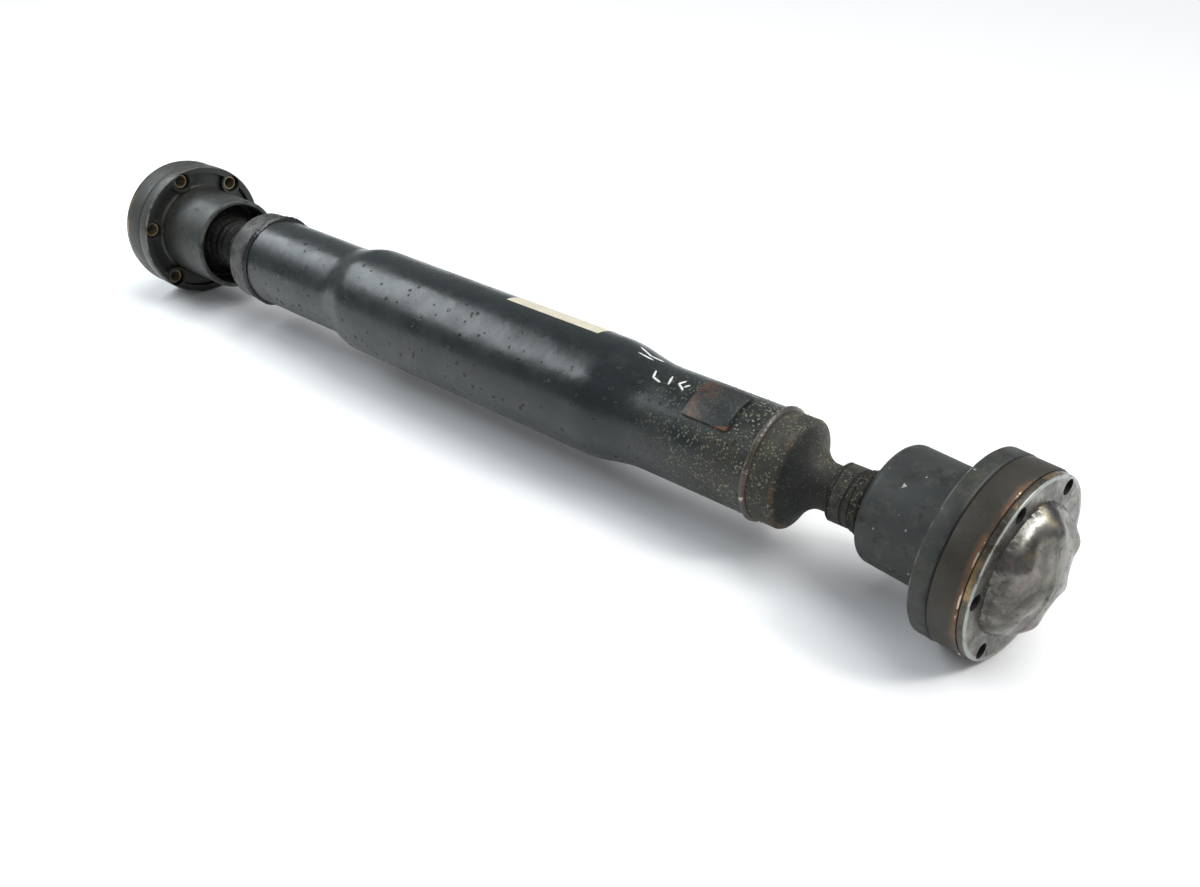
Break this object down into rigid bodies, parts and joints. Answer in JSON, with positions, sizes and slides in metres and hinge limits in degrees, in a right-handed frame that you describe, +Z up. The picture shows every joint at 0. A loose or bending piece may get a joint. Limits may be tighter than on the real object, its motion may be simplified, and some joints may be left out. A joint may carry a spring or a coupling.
{
  "type": "constant-velocity joint propeller shaft",
  "caption": "Short propeller shaft: a painted tube, swollen in the middle, with a flanged constant-velocity joint and a bolt circle at each end.",
  "frame": {"origin": "centre of the left joint's mounting face, on the shaft's axis", "axes": "+X along the shaft towards the right joint, +Z up, as it lies on its flange rims"},
  "size_m": [0.7307, 0.102, 0.1],
  "materials": {
    "tube_paint": "gloss near-black paint",
    "stub_paint": "dark grimy paint",
    "weld_metal": "rusty weld",
    "adapter_paint": "satin dark grey paint",
    "race_steel": "rusty forged steel",
    "bearing_steel": "ground steel",
    "cap_zinc": "stained zinc plate",
    "sleeve_zinc": "yellow zinc plate",
    "boot_rubber": "matt rubber",
    "gasket_rubber": "thin black sealing bead",
    "clamp_steel": "grimy steel band",
    "weight_steel": "bare steel with rusty corners",
    "label_stock": "aged cream paper"
  },
  "bodies": {
    "shaft": {"tube": "tube_paint", "left_stub_shaft": "stub_paint", "right_stub_shaft": "stub_paint", "left_weld_bead": "weld_metal", "right_weld_bead": "weld_metal", "left_inner_race": "bearing_steel", "right_inner_race": "bearing_steel", "left_circlip": "bearing_steel", "right_circlip": "bearing_steel", "left_boot_clamp": "clamp_steel", "right_boot_clamp": "clamp_steel", "balance_weight": "weight_steel", "label": "label_stock"},
    "left_boot": {"left_boot": "boot_rubber"},
    "left_cage": {"left_cage": "bearing_steel", "left_balls": "bearing_steel"},
    "left_flange": {"left_adapter": "adapter_paint", "left_adapter_gasket": "gasket_rubber", "left_outer_race": "race_steel", "left_cap_gasket": "gasket_rubber", "left_end_cap": "cap_zinc", "left_sleeves": "sleeve_zinc", "left_boot_ring": "clamp_steel"},
    "right_boot": {"right_boot": "boot_rubber"},
    "right_flange": {"right_adapter": "adapter_paint", "right_adapter_gasket": "gasket_rubber", "right_outer_race": "race_steel", "right_cap_gasket": "gasket_rubber", "right_end_cap": "cap_zinc", "right_sleeves": "sleeve_zinc", "right_boot_ring": "clamp_steel"},
    "right_cage": {"right_cage": "bearing_steel", "right_balls": "bearing_steel"}
  },
  "joints": [
    {"name": "left_pitch", "type": "hinge", "parent": "shaft", "child": "left_boot", "pos_m": [0.01325, 0, 0], "axis": [0, 1, 0], "range_deg": [-8, 8], "deforming": ["left_boot"]},
    {"name": "left_yaw", "type": "hinge", "parent": "left_boot", "child": "left_cage", "pos_m": [0.01325, 0, 0], "axis": [0, 0, 1], "range_deg": [-8, 8]},
    {"name": "left_plunge", "type": "slide", "parent": "left_cage", "child": "left_flange", "axis": [1, 0, 0], "range_m": [-0.006, 0.006]},
    {"name": "right_pitch", "type": "hinge", "parent": "shaft", "child": "right_boot", "pos_m": [0.68355, 0, 0], "axis": [0, 1, 0], "range_deg": [-8, 8], "deforming": ["right_boot"]},
    {"name": "right_yaw", "type": "hinge", "parent": "right_boot", "child": "right_flange", "pos_m": [0.68355, 0, 0], "axis": [0, 0, 1], "range_deg": [-1, 16]},
    {"name": "right_cage_yaw", "type": "hinge", "parent": "shaft", "child": "right_cage", "pos_m": [0.68355, 0, 0], "axis": [0, 0, 1], "range_deg": [-0.5, 8]}
  ],
  "couplings": [
    {"joint": "right_cage_yaw", "follows": "right_yaw", "ratio": 0.5}
  ]
}
